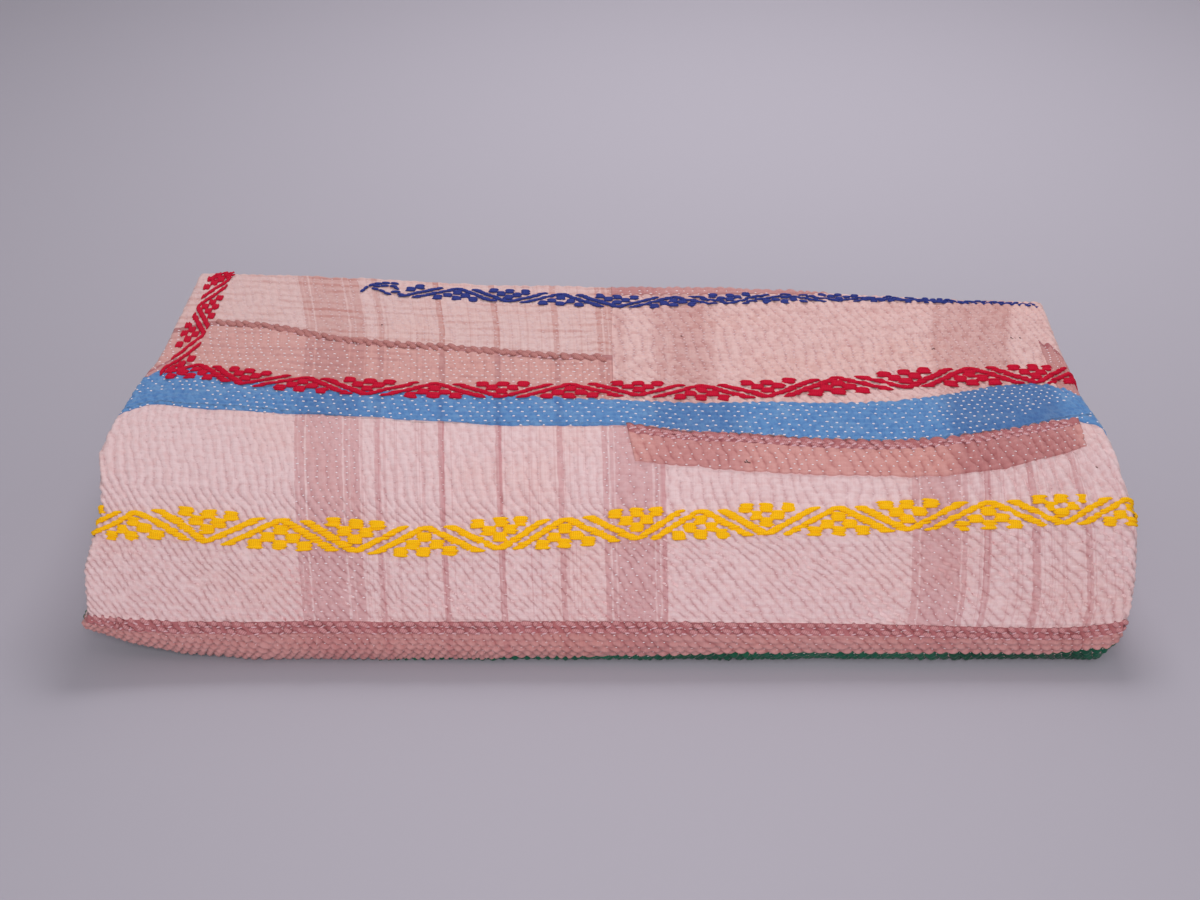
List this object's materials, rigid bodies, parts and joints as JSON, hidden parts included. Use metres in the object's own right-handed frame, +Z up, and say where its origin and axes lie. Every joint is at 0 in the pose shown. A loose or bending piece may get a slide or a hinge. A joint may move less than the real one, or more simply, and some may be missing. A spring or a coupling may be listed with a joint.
{
  "type": "folded kantha quilt",
  "caption": "Folded kantha quilt: one quilted cotton sheet folded into a low bundle with a smooth rounded front fold and open layers at its back and ends.",
  "frame": {"origin": "on the surface that the bundle lies on, under the middle of its box", "axes": "+X to the right along the front fold, +Y from the front fold to the back, +Z up"},
  "size_m": [0.574, 0.2698, 0.1221],
  "materials": {
    "quilted_cotton": "matt soft cotton, pale pink with mauve stripes, puckered by running stitches"
  },
  "bodies": {
    "root": {"quilt": "quilted_cotton"}
  },
  "joints": []
}
